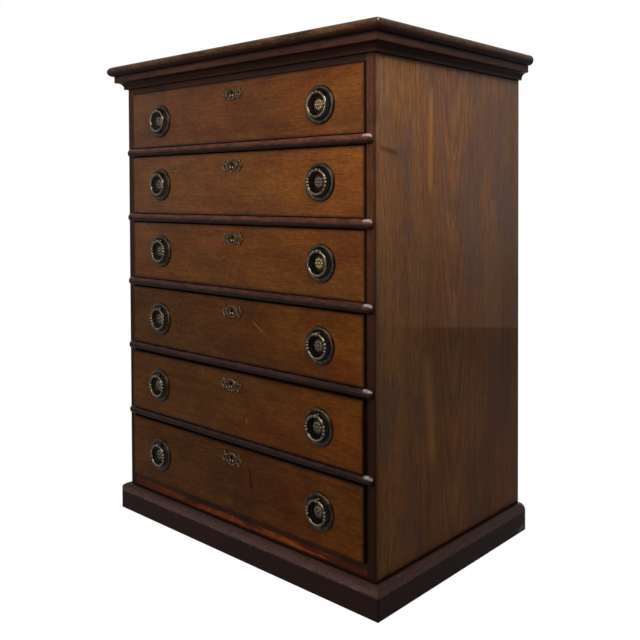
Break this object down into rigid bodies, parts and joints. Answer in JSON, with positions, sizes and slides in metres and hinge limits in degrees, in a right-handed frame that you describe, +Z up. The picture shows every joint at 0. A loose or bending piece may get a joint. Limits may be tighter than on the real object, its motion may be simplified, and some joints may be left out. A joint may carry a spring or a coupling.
{
  "type": "small chest of drawers",
  "caption": "Upright wooden chest of drawers with a cornice under an overhanging top, half-round rails, a plinth, and drawers with ring pulls, keyhole plates and locks.",
  "frame": {"origin": "middle of the footprint, on the floor", "axes": "+X to the right side as seen from the front, -Y out of the front, +Z up"},
  "size_m": [0.594, 0.394, 0.7615],
  "materials": {
    "case_wood": "polished, upright grain",
    "top_wood": "polished, worn",
    "drawer_wood": "polished, grain across",
    "moulding_wood": "dark polish",
    "rail_wood": "polished",
    "inner_wood": "bare, unpolished",
    "pull_brass": "aged, dark in the hollows",
    "lock_brass": "dull"
  },
  "bodies": {
    "case": {"side_left": "case_wood", "side_right": "case_wood", "top_board": "top_wood", "cornice": "moulding_wood", "front_rails": "rail_wood", "half_round_mouldings": "moulding_wood", "back_boards": "inner_wood", "bottom_board": "inner_wood", "plinth": "moulding_wood", "drawer_runners": "inner_wood", "dust_boards": "inner_wood", "drawer_stops": "inner_wood"},
    "drawer_1": {"drawer_1_front": "drawer_wood", "drawer_1_box": "inner_wood", "drawer_1_lock": "lock_brass", "drawer_1_escutcheon": "pull_brass", "drawer_1_pulls": "pull_brass"},
    "bolt_1": {"drawer_1_lock_bolt": "lock_brass"},
    "ring_1_left": {"drawer_1_ring_left": "pull_brass"},
    "ring_1_right": {"drawer_1_ring_right": "pull_brass"},
    "drawer_2": {"drawer_2_front": "drawer_wood", "drawer_2_box": "inner_wood", "drawer_2_lock": "lock_brass", "drawer_2_escutcheon": "pull_brass", "drawer_2_pulls": "pull_brass"},
    "bolt_2": {"drawer_2_lock_bolt": "lock_brass"},
    "ring_2_left": {"drawer_2_ring_left": "pull_brass"},
    "ring_2_right": {"drawer_2_ring_right": "pull_brass"},
    "drawer_3": {"drawer_3_front": "drawer_wood", "drawer_3_box": "inner_wood", "drawer_3_lock": "lock_brass", "drawer_3_escutcheon": "pull_brass", "drawer_3_pulls": "pull_brass"},
    "bolt_3": {"drawer_3_lock_bolt": "lock_brass"},
    "ring_3_left": {"drawer_3_ring_left": "pull_brass"},
    "ring_3_right": {"drawer_3_ring_right": "pull_brass"},
    "drawer_4": {"drawer_4_front": "drawer_wood", "drawer_4_box": "inner_wood", "drawer_4_lock": "lock_brass", "drawer_4_escutcheon": "pull_brass", "drawer_4_pulls": "pull_brass"},
    "bolt_4": {"drawer_4_lock_bolt": "lock_brass"},
    "ring_4_left": {"drawer_4_ring_left": "pull_brass"},
    "ring_4_right": {"drawer_4_ring_right": "pull_brass"},
    "drawer_5": {"drawer_5_front": "drawer_wood", "drawer_5_box": "inner_wood", "drawer_5_lock": "lock_brass", "drawer_5_escutcheon": "pull_brass", "drawer_5_pulls": "pull_brass"},
    "bolt_5": {"drawer_5_lock_bolt": "lock_brass"},
    "ring_5_left": {"drawer_5_ring_left": "pull_brass"},
    "ring_5_right": {"drawer_5_ring_right": "pull_brass"},
    "drawer_6": {"drawer_6_front": "drawer_wood", "drawer_6_box": "inner_wood", "drawer_6_lock": "lock_brass", "drawer_6_escutcheon": "pull_brass", "drawer_6_pulls": "pull_brass"},
    "bolt_6": {"drawer_6_lock_bolt": "lock_brass"},
    "ring_6_left": {"drawer_6_ring_left": "pull_brass"},
    "ring_6_right": {"drawer_6_ring_right": "pull_brass"}
  },
  "joints": [
    {"name": "drawer_1_slide", "type": "slide", "parent": "case", "child": "drawer_1", "axis": [0, -1, 0], "range_m": [0, 0.27]},
    {"name": "bolt_1_slide", "type": "slide", "parent": "drawer_1", "child": "bolt_1", "axis": [0, 0, 1], "range_m": [0, 0.006]},
    {"name": "ring_1_left_swing", "type": "hinge", "parent": "drawer_1", "child": "ring_1_left", "pos_m": [-0.178, -0.1802, 0.6794], "axis": [-1, 0, 0], "range_deg": [0, 160]},
    {"name": "ring_1_right_swing", "type": "hinge", "parent": "drawer_1", "child": "ring_1_right", "pos_m": [0.178, -0.1802, 0.6794], "axis": [-1, 0, 0], "range_deg": [0, 160]},
    {"name": "drawer_2_slide", "type": "slide", "parent": "case", "child": "drawer_2", "axis": [0, -1, 0], "range_m": [0, 0.27]},
    {"name": "bolt_2_slide", "type": "slide", "parent": "drawer_2", "child": "bolt_2", "axis": [0, 0, 1], "range_m": [0, 0.006]},
    {"name": "ring_2_left_swing", "type": "hinge", "parent": "drawer_2", "child": "ring_2_left", "pos_m": [-0.178, -0.1807, 0.57515], "axis": [-1, 0, 0], "range_deg": [0, 160]},
    {"name": "ring_2_right_swing", "type": "hinge", "parent": "drawer_2", "child": "ring_2_right", "pos_m": [0.178, -0.1807, 0.57515], "axis": [-1, 0, 0], "range_deg": [0, 160]},
    {"name": "drawer_3_slide", "type": "slide", "parent": "case", "child": "drawer_3", "axis": [0, -1, 0], "range_m": [0, 0.27]},
    {"name": "bolt_3_slide", "type": "slide", "parent": "drawer_3", "child": "bolt_3", "axis": [0, 0, 1], "range_m": [0, 0.006]},
    {"name": "ring_3_left_swing", "type": "hinge", "parent": "drawer_3", "child": "ring_3_left", "pos_m": [-0.178, -0.1802, 0.4659], "axis": [-1, 0, 0], "range_deg": [0, 160]},
    {"name": "ring_3_right_swing", "type": "hinge", "parent": "drawer_3", "child": "ring_3_right", "pos_m": [0.178, -0.1802, 0.4659], "axis": [-1, 0, 0], "range_deg": [0, 160]},
    {"name": "drawer_4_slide", "type": "slide", "parent": "case", "child": "drawer_4", "axis": [0, -1, 0], "range_m": [0, 0.27]},
    {"name": "bolt_4_slide", "type": "slide", "parent": "drawer_4", "child": "bolt_4", "axis": [0, 0, 1], "range_m": [0, 0.006]},
    {"name": "ring_4_left_swing", "type": "hinge", "parent": "drawer_4", "child": "ring_4_left", "pos_m": [-0.178, -0.1822, 0.3544], "axis": [-1, 0, 0], "range_deg": [0, 160]},
    {"name": "ring_4_right_swing", "type": "hinge", "parent": "drawer_4", "child": "ring_4_right", "pos_m": [0.178, -0.1822, 0.3544], "axis": [-1, 0, 0], "range_deg": [0, 160]},
    {"name": "drawer_5_slide", "type": "slide", "parent": "case", "child": "drawer_5", "axis": [0, -1, 0], "range_m": [0, 0.27]},
    {"name": "bolt_5_slide", "type": "slide", "parent": "drawer_5", "child": "bolt_5", "axis": [0, 0, 1], "range_m": [0, 0.006]},
    {"name": "ring_5_left_swing", "type": "hinge", "parent": "drawer_5", "child": "ring_5_left", "pos_m": [-0.178, -0.1852, 0.2444], "axis": [-1, 0, 0], "range_deg": [0, 160]},
    {"name": "ring_5_right_swing", "type": "hinge", "parent": "drawer_5", "child": "ring_5_right", "pos_m": [0.178, -0.1852, 0.2444], "axis": [-1, 0, 0], "range_deg": [0, 160]},
    {"name": "drawer_6_slide", "type": "slide", "parent": "case", "child": "drawer_6", "axis": [0, -1, 0], "range_m": [0, 0.27]},
    {"name": "bolt_6_slide", "type": "slide", "parent": "drawer_6", "child": "bolt_6", "axis": [0, 0, 1], "range_m": [0, 0.006]},
    {"name": "ring_6_left_swing", "type": "hinge", "parent": "drawer_6", "child": "ring_6_left", "pos_m": [-0.178, -0.1842, 0.12915], "axis": [-1, 0, 0], "range_deg": [0, 160]},
    {"name": "ring_6_right_swing", "type": "hinge", "parent": "drawer_6", "child": "ring_6_right", "pos_m": [0.178, -0.1842, 0.12915], "axis": [-1, 0, 0], "range_deg": [0, 160]}
  ]
}
